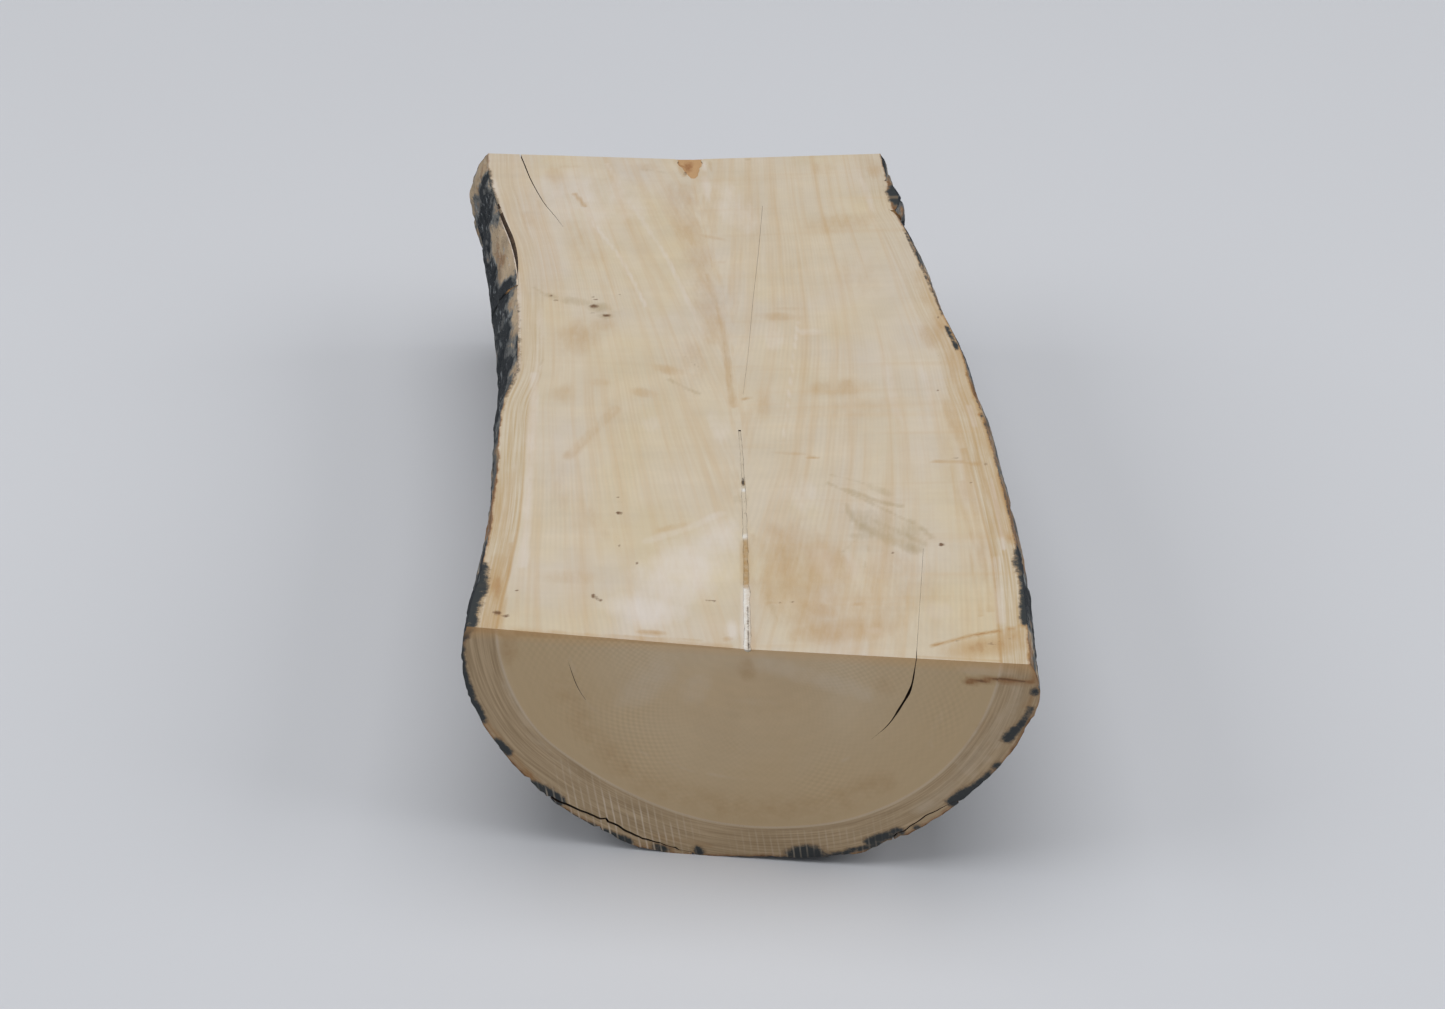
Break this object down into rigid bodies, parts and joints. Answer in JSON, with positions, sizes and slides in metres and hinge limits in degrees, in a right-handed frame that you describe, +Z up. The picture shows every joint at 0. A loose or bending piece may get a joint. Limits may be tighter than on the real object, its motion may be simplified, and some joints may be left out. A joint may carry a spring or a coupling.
{
  "type": "half-round tusk section",
  "caption": "Half-round length of tusk: dentine core with a nerve canal, cracked outer rind, flat sawn top and two flat sawn ends; rests on its rounded side.",
  "frame": {"origin": "middle of the bottom of the block's bounding box, on the surface that its rounded side rests on", "axes": "+Z up, out of the sawn lengthwise face; +Y along the nerve from the wider front end to the narrower rear end; +X to the right seen from the front end"},
  "size_m": [0.1306, 0.2188, 0.0584],
  "materials": {
    "dentine": "sawn and rubbed ivory dentine, satin, cream with growth lines",
    "canal_mineral": "chalky white and brown mineral",
    "iron_stained_mineral": "orange-brown, matt",
    "cementum_bark": "tan to brown fibrous bark, matt, rough outside and smooth where sawn",
    "vivianite_bark": "blue-black mineral-stained bark, matt, flaky"
  },
  "bodies": {
    "root": {"dentine_core": "dentine", "nerve_canal_fill": "canal_mineral", "canal_mouth_plug": "iron_stained_mineral", "rind_left": "cementum_bark", "rind_keel": "cementum_bark", "rind_lower_right": "cementum_bark", "rind_right": "cementum_bark", "bark_flake_left": "vivianite_bark", "bark_flake_right": "vivianite_bark", "sprung_bark_slab": "vivianite_bark", "bark_knob": "vivianite_bark"}
  },
  "joints": []
}
